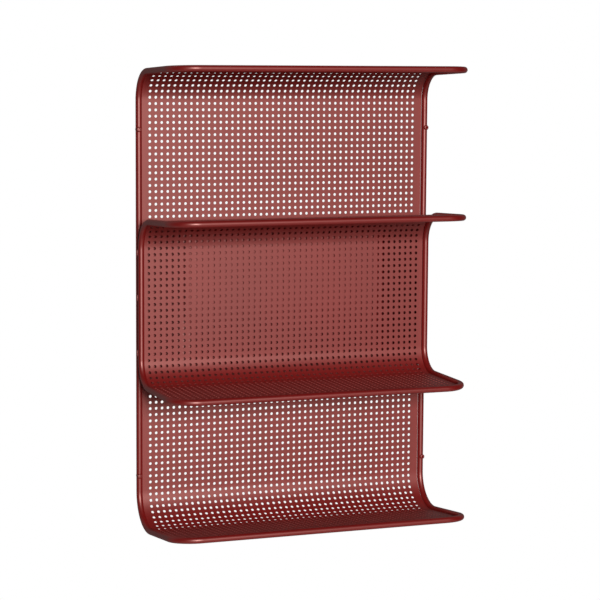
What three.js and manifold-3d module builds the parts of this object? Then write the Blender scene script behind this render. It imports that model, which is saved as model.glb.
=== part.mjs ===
// A wall shelf made of two C-shaped modules. Each module is a bent steel sheet inside a loop of round
// steel bar. The outer module gives the top shelf, the full-height back and the bottom shelf. The inner
// module is welded in front of that back and gives the two shelves between them. Four wall screws, which
// aren't part of it, pass through bushes in the outer side bars.
//
// Millimetres. X runs along the shelves, +Y goes into the wall and +Z is up. The origin lies on the wall
// plane, midway between the side bars and midway between the top and bottom front rails.

import * as THREE from "three";
import { mergeVertices } from "three/addons/utils/BufferGeometryUtils.js";
import Module from "manifold-3d";

const wasm = await Module();
wasm.setup();

// Driving dimensions.
const frameWidth = 400; // between the centre lines of the side bars
const barRadius = 4;
const cornerRadius = 33; // plan radius of a front corner, to the bar's centre line
const sheetThickness = 1;
const sheetOutset = 1; // from the bar's centre line out to the sheet's middle plane
const moduleSpacing = 8.8; // between the back bars of the two modules
const fitGap = 0.3; // between pieces that touch

// A shelf is placed by the centre line of its front rail: its height and its distance in front of its own
// back bars. It rises towards the front by `rise` degrees and meets the back in a bend of radius `bend`.
const modules = {
  outer: {
    barY: -barRadius,
    top: { side: 1, height: 289.5, depth: 144, rise: 2.2, bend: 37 },
    bottom: { side: -1, height: -289.5, depth: 153, rise: 4.9, bend: 44 },
  },
  inner: {
    barY: -barRadius - moduleSpacing,
    top: { side: 1, height: 100.5, depth: 137, rise: 2.3, bend: 37 },
    bottom: { side: -1, height: -119, depth: 137.5, rise: -1.85, bend: 33 },
  },
};

// The middle of the outer back is pressed forwards into a flat-topped pad behind the inner sheet. Its foot
// is where it leaves the sheet and its crown is the flat.
const pad = {
  height: 5.7,
  foot: { halfWidth: 142, low: -126, high: 86 },
  crown: { halfWidth: 132, low: -14, high: 66 },
};

const bush = {
  heights: { upper: 211.5, lower: -234.5 },
  outboard: 0.8, // from the side bar's centre line
  boreRadius: 1.4,
  bodyRadius: 2.2,
  collarRadius: 3.3,
  collarHeight: 2,
  lipHeight: 0.5, // straight part under the collar's dome
  shoulderRadius: 2.9, // halfway up the dome
  shoulderHeight: 1.4,
  seatRadius: 2.1, // of the flat ring round the bore's mouth
};

const tack = {
  heights: { upper: 55, middle: -3, lower: -74 },
  radius: 1.4,
  length: 8,
};

const barSides = 16;
const bendSteps = 18; // flats in a bend from shelf to back, about 5 degrees each
const cornerSteps = 8;
const tackEndSteps = 4;
const tackSides = 12;

const frameMaterial = { color: 0x8f2a26, roughness: 0.42, metalness: 0 };
const sheetMaterial = { color: 0x96302c, roughness: 0.48, metalness: 0 };

const halfWidth = frameWidth / 2;
const shelf = new THREE.Group();

function addPiece(name, geometry, look) {
  const mesh = new THREE.Mesh(geometry, new THREE.MeshStandardMaterial(look));
  mesh.name = name;
  shelf.add(mesh);
}

// Solids for cutting: a geometry's closed mesh as a manifold, and a manifold as a geometry again.
function toSolid(geometry) {
  const bare = geometry.clone();
  bare.deleteAttribute("normal");
  bare.deleteAttribute("uv");
  const merged = mergeVertices(bare, 1e-4);
  return new wasm.Manifold(new wasm.Mesh({
    numProp: 3,
    vertProperties: merged.attributes.position.array,
    triVerts: new Uint32Array(merged.index.array),
  }));
}

function toGeometry(solid) {
  const mesh = solid.getMesh();
  const geometry = new THREE.BufferGeometry();
  geometry.setAttribute("position", new THREE.BufferAttribute(mesh.vertProperties, 3));
  geometry.setIndex(new THREE.BufferAttribute(mesh.triVerts, 1));
  geometry.computeVertexNormals();
  return geometry;
}

// A path given as stations, each with a point and a direction. Straight runs need only their two ends,
// so a sweep along it puts one section at each station.
class StationPath extends THREE.Curve {
  constructor(stations) {
    super();
    this.stations = stations;
  }

  at(t, key) {
    const place = t * (this.stations.length - 1);
    const first = Math.min(Math.floor(place), this.stations.length - 2);
    return this.stations[first][key].clone().lerp(this.stations[first + 1][key], place - first);
  }

  getPoint(t) {
    return this.at(t, "point");
  }

  getTangent(t) {
    return this.at(t, "direction").normalize();
  }

  getPointAt(u) {
    return this.getPoint(u);
  }

  getTangentAt(u) {
    return this.getTangent(u);
  }
}

function sweepBar(stations) {
  const section = new THREE.Shape();
  section.absarc(0, 0, barRadius, 0, 2 * Math.PI);
  return new THREE.ExtrudeGeometry(section, {
    steps: stations.length - 1,
    curveSegments: barSides / 2,
    extrudePath: new StationPath(stations),
  });
}

// A point on a shelf's plane, `back` millimetres behind its front rail's centre line.
function onShelf(module, level, back) {
  const rise = THREE.MathUtils.degToRad(level.rise);
  return {
    y: module.barY - level.depth + back * Math.cos(rise),
    z: level.height - back * Math.sin(rise),
  };
}

// The bend between a shelf and the back, as stations from the shelf to the back. Each station has the
// angle of the outward normal, which is 0 on the back and near 90 or -90 degrees on the shelf.
function bendStations(module, level) {
  const rise = THREE.MathUtils.degToRad(level.rise);
  const centreY = module.barY - level.bend;
  const reach = centreY - (module.barY - level.depth);
  const centreZ = level.height - (level.side * level.bend + reach * Math.sin(rise)) / Math.cos(rise);
  const shelfAngle = level.side * Math.PI / 2 - rise;
  return Array.from({ length: bendSteps + 1 }, (_, i) => {
    const normal = shelfAngle * (1 - i / bendSteps);
    return {
      y: centreY + level.bend * Math.cos(normal),
      z: centreZ + level.bend * Math.sin(normal),
      normal,
    };
  });
}

// The side view of a module's bar or sheet, from the top shelf's front to the bottom shelf's front,
// starting and ending `back` millimetres behind the front rails' centre lines.
function sideStations(module, back) {
  const topBend = bendStations(module, module.top);
  const bottomBend = bendStations(module, module.bottom).reverse();
  const start = { ...onShelf(module, module.top, back), normal: topBend[0].normal };
  const end = { ...onShelf(module, module.bottom, back), normal: bottomBend.at(-1).normal };
  return [start, ...topBend, ...bottomBend, end];
}

function sideBar(module, x) {
  return sweepBar(sideStations(module, cornerRadius + fitGap).map(({ y, z, normal }) => ({
    point: new THREE.Vector3(x, y, z),
    direction: new THREE.Vector3(0, Math.sin(normal), -Math.cos(normal)),
  })));
}

// A front rail with its two rounded corners, lying in its shelf's plane.
function frontRail(module, level) {
  const rise = THREE.MathUtils.degToRad(level.rise);
  const stations = [];
  for (const [side, startTurn] of [[-1, -Math.PI / 2], [1, 0]]) {
    for (let i = 0; i <= cornerSteps; i += 1) {
      const turn = startTurn + (Math.PI / 2) * (i / cornerSteps);
      const across = Math.sin(turn);
      const forward = Math.cos(turn);
      const { y, z } = onShelf(module, level, cornerRadius * (1 - forward));
      stations.push({
        point: new THREE.Vector3(side * (halfWidth - cornerRadius) + cornerRadius * across, y, z),
        direction: new THREE.Vector3(forward, across * Math.cos(rise), -across * Math.sin(rise)),
      });
    }
  }
  return sweepBar(stations);
}

// A plan outline as wide as the sheet with its two front corners rounded, standing as a tall prism from
// `low` to `high`. It trims the corners of one shelf.
function cornerTrim(module, level, low, high) {
  const inset = barRadius + fitGap;
  const x = halfWidth - inset;
  const front = module.barY - level.depth + inset;
  const radius = cornerRadius - inset;
  const outline = new THREE.Shape();
  outline.moveTo(-x, 0);
  outline.lineTo(-x, front + radius);
  outline.absarc(-x + radius, front + radius, radius, Math.PI, 1.5 * Math.PI);
  outline.absarc(x - radius, front + radius, radius, 1.5 * Math.PI, 2 * Math.PI);
  outline.lineTo(x, 0);
  outline.closePath();
  const prism = new THREE.ExtrudeGeometry(outline, {
    depth: high - low,
    bevelEnabled: false,
    curveSegments: cornerSteps,
  });
  prism.translate(0, 0, low);
  return toSolid(prism);
}

function bentSheet(module) {
  const stations = sideStations(module, barRadius + fitGap);
  const face = (offset) => stations.map(({ y, z, normal }) => new THREE.Vector2(
    y + offset * Math.cos(normal),
    z + offset * Math.sin(normal),
  ));
  const inside = face(sheetOutset - sheetThickness / 2);
  const outside = face(sheetOutset + sheetThickness / 2);
  const profile = new THREE.Shape([...inside, ...outside.reverse()]);
  const strip = new THREE.ExtrudeGeometry(profile, { depth: frameWidth, bevelEnabled: false });
  // The extrusion's X, Y and Z become the shelf's Y, Z and X.
  strip.applyMatrix4(new THREE.Matrix4().makeBasis(
    new THREE.Vector3(0, 1, 0),
    new THREE.Vector3(0, 0, 1),
    new THREE.Vector3(1, 0, 0),
  ));
  strip.translate(-halfWidth, 0, 0);
  // The two trims overlap at mid-height and reach past the shelves' bends.
  const middle = (module.top.height + module.bottom.height) / 2;
  const spare = 5 * barRadius;
  const upperTrim = cornerTrim(module, module.top, middle - spare, module.top.height + spare);
  const lowerTrim = cornerTrim(module, module.bottom, module.bottom.height - spare, middle + spare);
  return toGeometry(toSolid(strip).intersect(upperTrim.add(lowerTrim)));
}

// A rectangle's corners at depth y.
function corners({ halfWidth: across, low, high }, y) {
  return [-across, across].flatMap((x) => [low, high].map((z) => [x, y, z]));
}

// The space in front of the pad's foot at depth y up to its crown, carried on backwards by the sheet's
// thickness.
function padSolid(y) {
  return wasm.Manifold.hull([
    ...corners(pad.foot, y + sheetThickness),
    ...corners(pad.foot, y),
    ...corners(pad.crown, y - pad.height),
  ]);
}

function pressPad(sheet, module) {
  const middleY = module.barY + sheetOutset;
  const raised = toSolid(sheet).add(padSolid(middleY - sheetThickness / 2));
  return toGeometry(raised.subtract(padSolid(middleY + sheetThickness / 2)));
}

// A bush with a domed collar. Its axis is Y, the collar's underside is at y = 0 and it ends on the wall.
function screwBush() {
  const length = 2 * barRadius + fitGap;
  const profile = [
    [bush.boreRadius, -bush.collarHeight],
    [bush.seatRadius, -bush.collarHeight],
    [bush.shoulderRadius, -bush.shoulderHeight],
    [bush.collarRadius, -bush.lipHeight],
    [bush.collarRadius, 0],
    [bush.bodyRadius, 0],
    [bush.bodyRadius, length],
    [bush.boreRadius, length],
    [bush.boreRadius, -bush.collarHeight],
  ].map(([radius, y]) => new THREE.Vector2(radius, y));
  return new THREE.LatheGeometry(profile, barSides);
}

function drillForBushes(bar, x) {
  const radius = bush.bodyRadius + fitGap;
  const through = 4 * barRadius; // twice the bar's thickness, so it cuts right through
  let solid = toSolid(bar);
  for (const height of Object.values(bush.heights)) {
    const drill = new THREE.CylinderGeometry(radius, radius, through, barSides);
    drill.translate(x, -barRadius, height);
    solid = solid.subtract(toSolid(drill));
  }
  return toGeometry(solid);
}

// A short bead in the outboard groove between the two modules' side bars.
function weldTack(side, height) {
  const straight = tack.length - 2 * tack.radius;
  const bead = new THREE.CapsuleGeometry(tack.radius, straight, tackEndSteps, tackSides);
  bead.rotateX(Math.PI / 2);
  const outboard = Math.sqrt((barRadius + fitGap + tack.radius) ** 2 - (moduleSpacing / 2) ** 2);
  bead.translate(side * (halfWidth + outboard), -barRadius - moduleSpacing / 2, height);
  return bead;
}

addPiece("outer_sheet", pressPad(bentSheet(modules.outer), modules.outer), sheetMaterial);
addPiece("inner_sheet", bentSheet(modules.inner), sheetMaterial);

for (const [name, module] of Object.entries(modules)) {
  addPiece(`${name}_top_front_rail`, frontRail(module, module.top), frameMaterial);
  addPiece(`${name}_bottom_front_rail`, frontRail(module, module.bottom), frameMaterial);
}

for (const [sideName, side] of [["left", -1], ["right", 1]]) {
  const bushX = side * (halfWidth + bush.outboard);
  const outerBar = sideBar(modules.outer, side * halfWidth);
  addPiece(`outer_${sideName}_side_bar`, drillForBushes(outerBar, bushX), frameMaterial);
  addPiece(`inner_${sideName}_side_bar`, sideBar(modules.inner, side * halfWidth), frameMaterial);
  for (const [level, height] of Object.entries(tack.heights)) {
    addPiece(`weld_tack_${sideName}_${level}`, weldTack(side, height), frameMaterial);
  }
  for (const [level, height] of Object.entries(bush.heights)) {
    const seated = screwBush().translate(bushX, -2 * barRadius - fitGap, height);
    addPiece(`screw_bush_${sideName}_${level}`, seated, frameMaterial);
  }
}

export default shelf;
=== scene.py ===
"""A wall shelf of two nested C-shaped modules, each a perforated sheet inside a loop of round bar.

Lengths are in metres and angles in degrees until they are used. +X is to the right, +Y goes into the
wall and +Z is up. Heights, depths and widths are read from the CAD frame. What a box can't tell, such as
bend radii and the hole pattern, is named below.
"""

import math

import bpy
from mathutils import Matrix, Vector


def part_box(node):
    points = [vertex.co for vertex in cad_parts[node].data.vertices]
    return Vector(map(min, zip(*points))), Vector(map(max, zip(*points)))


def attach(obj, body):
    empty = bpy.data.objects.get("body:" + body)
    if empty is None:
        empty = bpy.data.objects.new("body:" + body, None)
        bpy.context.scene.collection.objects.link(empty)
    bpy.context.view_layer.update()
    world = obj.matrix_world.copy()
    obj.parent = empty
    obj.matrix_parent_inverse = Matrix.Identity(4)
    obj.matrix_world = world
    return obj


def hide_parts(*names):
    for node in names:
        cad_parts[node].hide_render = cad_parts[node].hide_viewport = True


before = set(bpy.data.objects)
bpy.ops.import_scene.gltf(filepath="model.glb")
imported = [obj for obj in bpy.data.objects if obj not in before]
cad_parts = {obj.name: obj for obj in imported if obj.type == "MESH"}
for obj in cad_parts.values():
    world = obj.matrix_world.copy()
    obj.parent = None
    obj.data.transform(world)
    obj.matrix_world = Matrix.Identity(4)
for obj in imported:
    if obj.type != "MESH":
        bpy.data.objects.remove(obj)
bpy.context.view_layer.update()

MM = 0.001

# Sheet: a square pattern of round holes that runs unbroken round the bends.
HOLE_PITCH = 8 * MM
HOLE_SIDES = 12
SHEET_THICKNESS = 1 * MM
SHEET_OUTSET = 1 * MM  # from the bars' centre line out to the sheet's middle plane
SHEET_GAP = 0.3 * MM  # between the sheet's edge and the bar
BEND_STEPS = 3  # flats per hole pitch round a bend
RIM_STEPS = 4  # edges per hole pitch round a front corner
SHEET_CREASE = 20  # degrees; sharper folds stay crisp, as the pad's do, or its sides would glint

# Bars.
CORNER_RADIUS = 33 * MM
BAR_SIDES = 32
BAR_BEND_STEP = 3  # degrees between the sections of a bar in a bend
BAR_CREASE = 35  # degrees

# Each shelf: side is 1 where it tops its module and -1 where it closes it below.
SHELVES = {
    ("outer", "top"): {"side": 1, "rise": 2.2, "bend": 37 * MM},
    ("outer", "bottom"): {"side": -1, "rise": 4.9, "bend": 44 * MM},
    ("inner", "top"): {"side": 1, "rise": 2.3, "bend": 37 * MM},
    ("inner", "bottom"): {"side": -1, "rise": -1.85, "bend": 33 * MM},
}

# The pattern of each sheet: the radius of its holes, how many columns it has and how far they are off
# centre, and the stretch of the back that has no holes.
PATTERNS = {
    "outer": {"hole": 1.9 * MM, "columns": 47, "shift": -0.85 * MM, "blank": (-128 * MM, 88 * MM)},
    "inner": {"hole": 2.05 * MM, "columns": 48, "shift": -1.8 * MM, "blank": None},
}

# The pad: the middle of the blank stretch is pressed forwards, close behind the inner sheet. Its foot is
# where it leaves the sheet's plane and its crown is the flat in its middle, each as limits across and up.
PAD_HEIGHT = 5.7 * MM
PAD_FOOT = ((-142 * MM, 142 * MM), (-126 * MM, 86 * MM))
PAD_CROWN = ((-132 * MM, 132 * MM), (-14 * MM, 66 * MM))

# Bushes for the wall screws. The collar's sizes come from the frame.
BUSH_SIDES = 48
BUSH_BORE = 1.4 * MM
BUSH_BODY = 2.5 * MM
BUSH_SEAT = 2.0 * MM  # radius of the flat ring round the bore's mouth
BUSH_COLLAR = 2 * MM  # the collar's height
BUSH_LIP = 0.3 * MM  # straight part under the collar's dome
BUSH_CHAMFER = 0.15 * MM  # at the bore's mouth
DOME_STEPS = 10

# Weld tacks, which swell from blunt ends and are notched by ripples.
TACK_RIPPLES = 4
TACK_RIPPLE_DEPTH = 0.1  # as a share of the radius
TACK_BLUNTNESS = 3
TACK_RINGS = 33
TACK_SIDES = 20
TACK_CREASE = 60  # degrees

# Powder coat. Its sheen is tinted towards the red, since a white one of this strength turns the red grey.
RED = (0.28, 0.004, 0.004)
SHEEN_TINT = (1, 0.56, 0.52, 1)
COATS = {
    "sheet_coat": {"roughness": 0.51, "ior": 1.93, "seed": 1.0, "peel": 0.25},
    "bar_coat": {"roughness": 0.42, "ior": 1.9, "seed": 2.0, "peel": 0.2},
}
ROUGHNESS_SPREAD = 0.008
NOISE_SPAN = (0.3, 0.7)  # the part of a noise's values that is spread over a range

# Each noise as its scale and detail.
CLOUDING = (9, 3)
SPECKLE = (900, 1)
WEAR = (60, 4)
PEEL = (1200, 2)
PEEL_DEPTH = 0.05 * MM
CLOUD_SHADES = (0.93, 1.07)
SPECKLE_SHADE = 0.7
SPECKLE_AMOUNT = 0.25
RUBBED_SHADE = 1.35
RUBBED_LIFT = 0.01
RUBBED_AMOUNT = 0.35
RUBBED_POINTINESS = (0.53, 0.62)

# Camera, as heading to the right of +Y and pitch below level.
CAMERA_PLACE = (-1.0361, -2.6105, 0.3002)
CAMERA_HEADING = 22.10
CAMERA_PITCH = 6.38
CAMERA_ROLL = 0.35
CAMERA_LENS = 128.8
CAMERA_SENSOR = 36.0

# Light, in watts and as strengths of the surroundings.
KEY_PLACE = (-1.04, -9.1, 1.6)
KEY_SIZE = (2.2, 2.2)
KEY_WATTS = 590
KEY_COLOUR = (1.0, 1.0, 0.97)
AMBIENT = 0.006
BACKDROP = 0.22
BACKDROP_SPAN = (0.0, 0.4)  # how far towards +Y a direction points where the backdrop starts and is full

FLOOR_HEIGHT = -1.0
FLOOR_SIZE = 3.0
FLOOR_COLOUR = (0.8, 0.8, 0.79, 1)
FLOOR_ROUGHNESS = 0.9


# Meshes -------------------------------------------------------------------------------------------------


def make_piece(name, vertices, faces, material, nodes, slot, crease=BAR_CREASE):
    """Links a mesh as a piece of the object that stands for the given CAD nodes."""
    mesh = bpy.data.meshes.new(name)
    mesh.from_pydata(vertices, [], faces)
    mesh.validate()
    mesh.shade_smooth()
    mesh.set_sharp_from_angle(angle=math.radians(crease))
    mesh.materials.append(material)
    piece = bpy.data.objects.new(name, mesh)
    bpy.context.scene.collection.objects.link(piece)
    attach(piece, "root")
    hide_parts(*nodes)
    return piece


def loft(rings, closed_ends=True):
    """Vertices and quads that join rings of equally many points, with a face over each end."""
    sides = len(rings[0])
    vertices = [point for ring in rings for point in ring]
    faces = []
    for first in range(len(rings) - 1):
        for i in range(sides):
            j = (i + 1) % sides
            a, b = first * sides, (first + 1) * sides
            faces.append((a + i, a + j, b + j, b + i))
    if closed_ends:
        last = (len(rings) - 1) * sides
        faces.append(tuple(reversed(range(sides))))
        faces.append(tuple(range(last, last + sides)))
    return vertices, faces


# The side view of a module --------------------------------------------------------------------------------


class Shelf:
    """One shelf and its bend, in the Y-Z plane. `angle` is that of the shelf's outward normal."""

    def __init__(self, module, level, back_y, bar_radius):
        shape = SHELVES[module, level]
        low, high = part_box(f"{module}_{level}_front_rail")
        self.side = shape["side"]
        self.bend = shape["bend"]
        self.rise = math.radians(shape["rise"])
        self.rail_y = low.y + bar_radius
        self.rail_z = high.z - bar_radius if self.rise > 0 else low.z + bar_radius
        self.centre_y = back_y - self.bend
        reach = self.centre_y - self.rail_y
        drop = (self.side * self.bend + reach * math.sin(self.rise)) / math.cos(self.rise)
        self.centre_z = self.rail_z - drop
        self.angle = self.side * math.pi / 2 - self.rise
        bend_end = self.on_bend(self.angle, 0)
        self.run = math.hypot(bend_end[0] - self.rail_y, bend_end[1] - self.rail_z)

    def on_bend(self, angle, offset):
        radius = self.bend + offset
        return self.centre_y + radius * math.cos(angle), self.centre_z + radius * math.sin(angle)

    def on_shelf(self, along, offset):
        """A point `along` metres from the bend's end towards the front."""
        y, z = self.on_bend(self.angle, offset)
        return y - along * math.cos(self.rise), z + along * math.sin(self.rise)


class Module:
    """The side view of a module, and the flat pattern of its sheet.

    `v` is the distance along the sheet's middle plane, upwards from the height of the origin. `offset` is the
    distance outwards from the bars' centre line.
    """

    def __init__(self, name):
        low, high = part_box(f"{name}_left_side_bar")
        self.name = name
        self.bar_radius = (high.x - low.x) / 2
        self.half_width = -(high.x + low.x) / 2
        self.back_y = high.y - self.bar_radius
        self.top = Shelf(name, "top", self.back_y, self.bar_radius)
        self.bottom = Shelf(name, "bottom", self.back_y, self.bar_radius)

    def bend_length(self, shelf):
        return (shelf.bend + SHEET_OUTSET) * abs(shelf.angle)

    def end_of_sheet(self, shelf):
        """v at the sheet's front edge."""
        run = shelf.run - self.bar_radius - SHEET_GAP
        return shelf.centre_z + shelf.side * (self.bend_length(shelf) + run)

    def bend_span(self, shelf):
        return sorted((shelf.centre_z, shelf.centre_z + shelf.side * self.bend_length(shelf)))

    def place(self, v, offset):
        """(y, z) of a point of the flat pattern on the bent sheet."""
        shelf = self.top if v >= 0 else self.bottom
        beyond = (v - shelf.centre_z) * shelf.side
        if beyond <= 0:
            return self.back_y + offset, v
        if beyond <= self.bend_length(shelf):
            angle = shelf.side * beyond / (shelf.bend + SHEET_OUTSET)
            return shelf.on_bend(angle, offset)
        return shelf.on_shelf(beyond - self.bend_length(shelf), offset)


# Sheets ---------------------------------------------------------------------------------------------------


class FlatPattern:
    """Points and faces of the sheet before bending, with shared points."""

    def __init__(self):
        self.points = []
        self.faces = []
        self.known = {}

    def point(self, u, v):
        key = (round(u / MM, 4), round(v / MM, 4))
        if key not in self.known:
            self.known[key] = len(self.points)
            self.points.append((u, v))
        return self.known[key]

    def face(self, corners):
        self.faces.append([self.point(u, v) for u, v in corners])

    def open_edges(self):
        edges = set()
        for face in self.faces:
            edges.update(zip(face, face[1:] + face[:1]))
        return [(a, b) for a, b in edges if (b, a) not in edges]


def add_holed_cell(pattern, radius, u, v, levels):
    """One pitch square with its hole. `levels` are the heights at which its sides have points."""
    half = HOLE_PITCH / 2
    quarter = HOLE_SIDES // 4
    rim = []
    for i in range(HOLE_SIDES):
        angle = 2 * math.pi * i / HOLE_SIDES - math.pi / 4
        rim.append((u + radius * math.cos(angle), v + radius * math.sin(angle)))
    rim.append(rim[0])
    borders = [
        [(u + half, level) for level in levels],
        [(u + half, levels[-1]), (u - half, levels[-1])],
        [(u - half, level) for level in reversed(levels)],
        [(u - half, levels[0]), (u + half, levels[0])],
    ]
    for i, border in enumerate(borders):
        arc = rim[i * quarter:(i + 1) * quarter + 1]
        if len(levels) == 2:
            pattern.face(border + arc[::-1])
        else:
            zip_face(pattern, border, arc)


def zip_face(pattern, border, arc):
    """Triangles between a border and an arc, both in the same sense, that may have different counts."""
    i = j = 0
    while i < len(border) - 1 or j < len(arc) - 1:
        border_share = (i + 1) / max(len(border) - 1, 1)
        arc_share = (j + 1) / max(len(arc) - 1, 1)
        if j == len(arc) - 1 or (i < len(border) - 1 and border_share <= arc_share):
            pattern.face([border[i], border[i + 1], arc[j]])
            i += 1
        else:
            pattern.face([border[i], arc[j + 1], arc[j]])
            j += 1


def pad_height(module, u, v):
    """How far the sheet stands forward of its plane at (u, v)."""
    if PATTERNS[module.name]["blank"] is None:
        return 0
    share = 1
    for place, foot, crown in zip((u, v), PAD_FOOT, PAD_CROWN):
        for start, end in zip(foot, crown):
            share = min(share, (place - start) / (end - start))
    return PAD_HEIGHT * max(0, share)


def sheet_half_width(module, v):
    """Half the sheet's width at v, less where its front corners are rounded."""
    inset = module.bar_radius + SHEET_GAP
    full = module.half_width - inset
    radius = CORNER_RADIUS - inset
    shelf = module.top if v >= 0 else module.bottom
    from_front = abs(module.end_of_sheet(shelf) - v)
    if from_front >= radius:
        return full
    return full - radius + math.sqrt(max(0, radius ** 2 - (radius - from_front) ** 2))


def row_levels(module, low, high):
    """Heights at which the sides of a row have points: more of them where it bends."""
    spans = [module.bend_span(shelf) for shelf in (module.top, module.bottom)]
    if not any(low < end and high > start for start, end in spans):
        return [low, high]
    return [low + (high - low) * i / BEND_STEPS for i in range(BEND_STEPS + 1)]


def add_row(pattern, module, edges, low, high, holed):
    """One row of the pattern across the sheet, from v = low to v = high. `edges` are between its columns."""
    levels = row_levels(module, low, high)
    narrow = min(sheet_half_width(module, low), sheet_half_width(module, high))
    radius = PATTERNS[module.name]["hole"]
    kept = [e for e in edges if abs(e) < narrow]
    for left, right in zip(kept, kept[1:]):
        if holed:
            add_holed_cell(pattern, radius, (left + right) / 2, (low + high) / 2, levels)
        else:
            add_strip(pattern, left, right, levels)
    for side in (-1, 1):
        outwards = sorted(side * e for e in edges)
        start = max(side * e for e in kept)
        add_margin(pattern, module, side, start, outwards, levels)


def add_strip(pattern, left, right, levels):
    for low, high in zip(levels, levels[1:]):
        pattern.face([(left, low), (right, low), (right, high), (left, high)])


def add_margin(pattern, module, side, start, edges, levels):
    """The rest of a row, from its last whole cell at `start` to the sheet's edge."""
    rounded = sheet_half_width(module, levels[0]) != sheet_half_width(module, levels[-1])
    if rounded:
        low, high = levels[0], levels[-1]
        rim = [low + (high - low) * i / RIM_STEPS for i in range(RIM_STEPS + 1)]
        bottom = [(e, low) for e in edges if start <= e < sheet_half_width(module, low)]
        top = [(e, high) for e in edges if start <= e < sheet_half_width(module, high)]
        outline = bottom + [(sheet_half_width(module, v), v) for v in rim] + top[::-1]
        outlines = [outline]
    else:
        width = sheet_half_width(module, levels[0])
        outlines = []
        for low, high in zip(levels, levels[1:]):
            outlines.append([(start, low), (width, low), (width, high), (start, high)])
    for outline in outlines:
        if side < 0:
            outline = [(-u, v) for u, v in outline[::-1]]
        pattern.face(outline)


def flat_pattern(module):
    pattern = FlatPattern()
    layout = PATTERNS[module.name]
    blank = layout["blank"]
    columns = layout["columns"]
    edges = [(i - columns / 2) * HOLE_PITCH + layout["shift"] for i in range(columns + 1)]
    bottom_end = module.end_of_sheet(module.bottom)
    top_end = module.end_of_sheet(module.top)
    first = math.ceil(bottom_end / HOLE_PITCH)
    last = math.floor(top_end / HOLE_PITCH)
    add_row(pattern, module, edges, bottom_end, first * HOLE_PITCH, False)
    for i in range(first, last):
        low, high = i * HOLE_PITCH, (i + 1) * HOLE_PITCH
        in_blank = blank is not None and blank[0] < (low + high) / 2 < blank[1]
        add_row(pattern, module, edges, low, high, not in_blank)
    add_row(pattern, module, edges, last * HOLE_PITCH, top_end, False)
    return pattern


def make_sheet(module, material):
    """The bent, perforated sheet: the pattern twice, a thickness apart, with walls along every open edge."""
    pattern = flat_pattern(module)
    count = len(pattern.points)
    vertices = []
    for offset in (SHEET_OUTSET + SHEET_THICKNESS / 2, SHEET_OUTSET - SHEET_THICKNESS / 2):
        for u, v in pattern.points:
            y, z = module.place(v, offset)
            vertices.append((u, y - pad_height(module, u, v), z))
    # Seen from outside, which is behind on the back, +u runs to the left, so the pattern's faces turn over.
    faces = [tuple(reversed(face)) for face in pattern.faces]
    faces += [tuple(i + count for i in face) for face in pattern.faces]
    faces += [(a, b, b + count, a + count) for a, b in pattern.open_edges()]
    return make_piece(
        f"{module.name}_perforated_sheet", vertices, faces, material,
        [f"{module.name}_sheet"], "sheet_paint", crease=SHEET_CREASE,
    )


# Bars -----------------------------------------------------------------------------------------------------


def bar_rings(stations, radius):
    """Rings of a bar swept through stations of (point, direction, a direction square to it)."""
    rings = []
    for point, direction, across in stations:
        other = direction.cross(across)
        ring = []
        for i in range(BAR_SIDES):
            angle = 2 * math.pi * i / BAR_SIDES
            ring.append(point + radius * (math.cos(angle) * across + math.sin(angle) * other))
        rings.append(ring)
    return rings


def bend_steps(degrees):
    return max(2, math.ceil(abs(degrees) / BAR_BEND_STEP))


def side_bar(module, x):
    """Stations from the top shelf's rail, round the back, to the bottom shelf's rail."""
    stations = []
    across = Vector((1, 0, 0))

    def add(y, z, angle):
        direction = Vector((0, math.sin(angle), -math.cos(angle)))
        stations.append((Vector((x, y, z)), direction, across))

    for shelf in (module.top, module.bottom):
        steps = bend_steps(math.degrees(shelf.angle))
        bend = [shelf.angle * (1 - i / steps) for i in range(steps + 1)]
        front = (*shelf.on_shelf(shelf.run - CORNER_RADIUS, 0), shelf.angle)
        part = [front] + [(*shelf.on_bend(angle, 0), angle) for angle in bend]
        for station in part if shelf.side > 0 else reversed(part):
            add(*station)
    return stations


def front_rail(module, shelf):
    """Stations of a front rail with its two rounded corners, from left to right."""
    stations = []
    steps = bend_steps(90)
    normal = Vector((0, math.sin(shelf.rise), math.cos(shelf.rise)))
    back = Vector((0, math.cos(shelf.rise), -math.sin(shelf.rise)))
    rail = Vector((0, shelf.rail_y, shelf.rail_z))
    for side, start in ((-1, -math.pi / 2), (1, 0)):
        for i in range(steps + 1):
            turn = start + (math.pi / 2) * i / steps
            x = side * (module.half_width - CORNER_RADIUS) + CORNER_RADIUS * math.sin(turn)
            point = rail + Vector((x, 0, 0)) + CORNER_RADIUS * (1 - math.cos(turn)) * back
            direction = Vector((math.cos(turn), 0, 0)) + math.sin(turn) * back
            stations.append((point, direction, normal))
    return stations


def make_bars(module, material):
    for side_name, side in (("left", -1), ("right", 1)):
        name = f"{module.name}_{side_name}_side_bar"
        rings = bar_rings(side_bar(module, side * module.half_width), module.bar_radius)
        bar = make_piece(f"{name}_bent", *loft(rings), material, [name], "bar_paint")
        if module.name == "outer":
            drill(bar, [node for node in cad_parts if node.startswith(f"screw_bush_{side_name}")])
    for level, shelf in (("top", module.top), ("bottom", module.bottom)):
        name = f"{module.name}_{level}_front_rail"
        rings = bar_rings(front_rail(module, shelf), module.bar_radius)
        make_piece(f"{name}_bent", *loft(rings), material, [name], "bar_paint")


# Bushes and tacks -----------------------------------------------------------------------------------------


def circle(radius, y, sides):
    """Points of a circle round the Y axis."""
    points = []
    for i in range(sides):
        angle = 2 * math.pi * i / sides
        points.append((radius * math.cos(angle), y, radius * math.sin(angle)))
    return points


def bush_axis(name):
    low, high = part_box(name)
    return (low.x + high.x) / 2, (low.z + high.z) / 2


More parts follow.
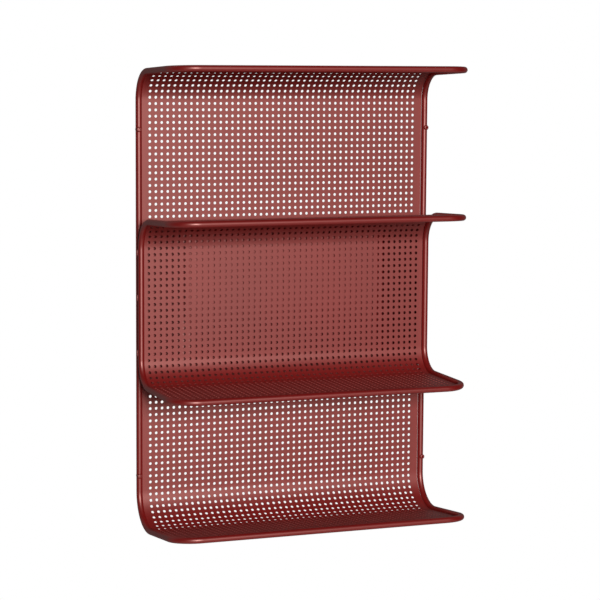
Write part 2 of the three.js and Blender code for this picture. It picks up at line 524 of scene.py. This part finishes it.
def make_bush(name, material):
    """A bush with a domed collar and a bore right through."""
    low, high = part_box(name)
    collar = (high.x - low.x) / 2
    underside = low.y + BUSH_COLLAR
    lip = underside - BUSH_LIP
    profile = [(BUSH_BORE, low.y + BUSH_CHAMFER), (BUSH_BORE + BUSH_CHAMFER, low.y)]
    for i in range(DOME_STEPS + 1):
        turn = math.pi / 2 * i / DOME_STEPS
        radius = BUSH_SEAT + (collar - BUSH_SEAT) * math.sin(turn)
        profile.append((radius, lip - (lip - low.y) * math.cos(turn)))
    profile += [(collar, underside), (BUSH_BODY, underside), (BUSH_BODY, high.y), (BUSH_BORE, high.y)]
    profile.append(profile[0])
    vertices, faces = loft([circle(radius, y, BUSH_SIDES) for radius, y in profile], closed_ends=False)
    x, z = bush_axis(name)
    vertices = [(x + px, py, z + pz) for px, py, pz in vertices]
    make_piece(f"{name}_turned", vertices, faces, material, [name], "bar_paint")


def drill(bar, names):
    """Cuts the bushes' holes through a side bar."""
    for name in names:
        x, z = bush_axis(name)
        low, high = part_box(name)
        rings = [circle(BUSH_BODY, y, BUSH_SIDES) for y in (low.y, high.y + BUSH_COLLAR)]
        vertices, faces = loft(rings)
        mesh = bpy.data.meshes.new("drill")
        mesh.from_pydata([(x + px, py, z + pz) for px, py, pz in vertices], [], faces)
        tool = bpy.data.objects.new("drill", mesh)
        bpy.context.scene.collection.objects.link(tool)
        cut = bar.modifiers.new("cut", "BOOLEAN")
        cut.operation = "DIFFERENCE"
        cut.solver = "EXACT"
        cut.object = tool
        bpy.context.view_layer.update()
        evaluated = bar.evaluated_get(bpy.context.evaluated_depsgraph_get())
        drilled = bpy.data.meshes.new_from_object(evaluated)
        bar.modifiers.clear()
        bar.data = drilled
        bpy.data.objects.remove(tool)
    bar.data.set_sharp_from_angle(angle=math.radians(BAR_CREASE))


def make_tack(name, material):
    """A short weld bead with ripples along it, upright in the groove."""
    low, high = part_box(name)
    centre = (low + high) / 2
    half_length = (high.z - low.z) / 2
    radius = (high.x - low.x) / 2
    rings = []
    for i in range(TACK_RINGS):
        share = -1 + 2 * (i + 0.5) / TACK_RINGS
        swell = (1 - abs(share) ** TACK_BLUNTNESS) ** 0.5
        notch = 1 - abs(math.cos(math.pi * TACK_RIPPLES * share / 2))
        ripple = 1 - TACK_RIPPLE_DEPTH * notch
        z = centre.z + half_length * math.sin(share * math.pi / 2)
        ring = []
        for k in range(TACK_SIDES):
            angle = 2 * math.pi * k / TACK_SIDES
            r = radius * swell * ripple
            ring.append((centre.x + r * math.cos(angle), centre.y + r * math.sin(angle), z))
        rings.append(ring)
    vertices, faces = loft(rings)
    make_piece(f"{name}_bead", vertices, faces, material, [name], "bar_paint", crease=TACK_CREASE)


# Materials ------------------------------------------------------------------------------------------------


def shade(colour, factor, lift=0):
    return tuple(min(1, c * factor + lift) for c in colour)


def powder_coat(name, roughness, ior, seed, peel):
    """Satin powder coat: an even red with faint clouding, orange peel and slightly rubbed edges."""
    material = bpy.data.materials.new(name)
    material.use_nodes = True
    tree = material.node_tree
    nodes, links = tree.nodes, tree.links
    shader = next(n for n in nodes if n.type == "BSDF_PRINCIPLED")
    shader.inputs["IOR"].default_value = ior
    shader.inputs["Specular IOR Level"].default_value = 1
    shader.inputs["Specular Tint"].default_value = SHEEN_TINT

    place = nodes.new("ShaderNodeTexCoord")
    shift = nodes.new("ShaderNodeMapping")
    shift.inputs["Location"].default_value = (seed, seed * 2, seed * 3)
    links.new(place.outputs["Object"], shift.inputs["Vector"])

    def noise(scale, detail):
        node = nodes.new("ShaderNodeTexNoise")
        node.inputs["Scale"].default_value = scale
        node.inputs["Detail"].default_value = detail
        links.new(shift.outputs["Vector"], node.inputs["Vector"])
        return node.outputs["Fac"]

    def ramp(source, low, high, span=NOISE_SPAN):
        node = nodes.new("ShaderNodeMapRange")
        node.inputs["From Min"].default_value, node.inputs["From Max"].default_value = span
        node.inputs["To Min"].default_value = low
        node.inputs["To Max"].default_value = high
        links.new(source, node.inputs["Value"])
        return node.outputs["Result"]

    def mix(factor, first, second):
        node = nodes.new("ShaderNodeMix")
        node.data_type = "RGBA"
        links.new(factor, node.inputs["Factor"])
        for socket, value in (("A", first), ("B", second)):
            target = next(s for s in node.inputs if s.name == socket and s.type == "RGBA")
            if isinstance(value, tuple):
                target.default_value = (*value, 1)
            else:
                links.new(value, target)
        return next(s for s in node.outputs if s.type == "RGBA")

    darker, paler = (shade(RED, factor) for factor in CLOUD_SHADES)
    clouded = mix(ramp(noise(*CLOUDING), 0, 1), darker, paler)
    speckled = mix(ramp(noise(*SPECKLE), 0, SPECKLE_AMOUNT), clouded, shade(RED, SPECKLE_SHADE))
    shape = nodes.new("ShaderNodeNewGeometry")
    rubbing = ramp(shape.outputs["Pointiness"], 0, RUBBED_AMOUNT, RUBBED_POINTINESS)
    rubbed = mix(rubbing, speckled, shade(RED, RUBBED_SHADE, RUBBED_LIFT))
    links.new(rubbed, shader.inputs["Base Color"])

    worn = ramp(noise(*WEAR), roughness - ROUGHNESS_SPREAD, roughness + ROUGHNESS_SPREAD)
    links.new(worn, shader.inputs["Roughness"])

    bump = nodes.new("ShaderNodeBump")
    bump.inputs["Strength"].default_value = peel
    bump.inputs["Distance"].default_value = PEEL_DEPTH
    links.new(noise(*PEEL), bump.inputs["Height"])
    links.new(bump.outputs["Normal"], shader.inputs["Normal"])
    return material


# Floor, light and camera -----------------------------------------------------------------------------------


def make_floor():
    half = FLOOR_SIZE / 2
    corners = [(-half, -half), (half, -half), (half, half), (-half, half)]
    mesh = bpy.data.meshes.new("floor")
    mesh.from_pydata([(x, y - half / 2, FLOOR_HEIGHT) for x, y in corners], [], [(0, 1, 2, 3)])
    material = bpy.data.materials.new("pale_floor")
    material.use_nodes = True
    shader = next(n for n in material.node_tree.nodes if n.type == "BSDF_PRINCIPLED")
    shader.inputs["Base Color"].default_value = FLOOR_COLOUR
    shader.inputs["Roughness"].default_value = FLOOR_ROUGHNESS
    mesh.materials.append(material)
    floor = bpy.data.objects.new("floor", mesh)
    bpy.context.scene.collection.objects.link(floor)


def aim(thing, place, target):
    thing.location = place
    thing.rotation_euler = (Vector(target) - Vector(place)).to_track_quat("-Z", "Y").to_euler()


def add_softbox(name, place, target, size, watts, colour):
    light = bpy.data.lights.new(name, "AREA")
    light.shape = "RECTANGLE"
    light.size, light.size_y = size
    light.energy = watts
    light.color = colour
    lamp = bpy.data.objects.new(name, light)
    bpy.context.scene.collection.objects.link(lamp)
    lamp.visible_camera = False
    aim(lamp, place, target)


def make_world():
    """A studio that looks white. It gives light mostly from behind the object, and little from elsewhere."""
    world = bpy.data.worlds.new("studio")
    bpy.context.scene.world = world
    world.use_nodes = True
    nodes, links = world.node_tree.nodes, world.node_tree.links
    output = next(n for n in nodes if n.type == "OUTPUT_WORLD")
    direction = nodes.new("ShaderNodeTexCoord")
    parts = nodes.new("ShaderNodeSeparateXYZ")
    links.new(direction.outputs["Generated"], parts.inputs["Vector"])
    level = nodes.new("ShaderNodeMapRange")
    level.interpolation_type = "SMOOTHSTEP"
    level.inputs["From Min"].default_value, level.inputs["From Max"].default_value = BACKDROP_SPAN
    level.inputs["To Min"].default_value = AMBIENT
    level.inputs["To Max"].default_value = BACKDROP
    links.new(parts.outputs["Y"], level.inputs["Value"])
    given = nodes.new("ShaderNodeBackground")
    links.new(level.outputs["Result"], given.inputs["Strength"])
    seen = nodes.new("ShaderNodeBackground")
    seen.inputs["Color"].default_value = (1, 1, 1, 1)
    path = nodes.new("ShaderNodeLightPath")
    mixer = nodes.new("ShaderNodeMixShader")
    links.new(path.outputs["Is Camera Ray"], mixer.inputs["Fac"])
    links.new(given.outputs["Background"], mixer.inputs[1])
    links.new(seen.outputs["Background"], mixer.inputs[2])
    links.new(mixer.outputs["Shader"], output.inputs["Surface"])


def make_camera():
    heading, pitch = math.radians(CAMERA_HEADING), math.radians(CAMERA_PITCH)
    forward = Vector((
        math.sin(heading) * math.cos(pitch),
        math.cos(heading) * math.cos(pitch),
        -math.sin(pitch),
    ))
    level = Vector((math.cos(heading), -math.sin(heading), 0))
    turn = Matrix.Rotation(math.radians(CAMERA_ROLL), 3, -forward)
    right = turn @ level
    up = right.cross(forward)
    camera = bpy.data.objects.new("camera", bpy.data.cameras.new("camera"))
    camera.data.lens = CAMERA_LENS
    camera.data.sensor_width = CAMERA_SENSOR
    rotation = Matrix((right, up, -forward)).transposed()
    camera.matrix_world = Matrix.Translation(CAMERA_PLACE) @ rotation.to_4x4()
    bpy.context.scene.collection.objects.link(camera)
    bpy.context.scene.camera = camera


sheet_coat, bar_coat = (powder_coat(name, **coat) for name, coat in COATS.items())

for module_name in ("outer", "inner"):
    shelf_module = Module(module_name)
    make_sheet(shelf_module, sheet_coat)
    make_bars(shelf_module, bar_coat)

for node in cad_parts:
    if node.startswith("screw_bush"):
        make_bush(node, bar_coat)
    if node.startswith("weld_tack"):
        make_tack(node, bar_coat)

make_floor()
make_world()
add_softbox("key_softbox", KEY_PLACE, (0, 0, 0), KEY_SIZE, KEY_WATTS, KEY_COLOUR)
make_camera()
bpy.context.scene.view_settings.view_transform = "Standard"
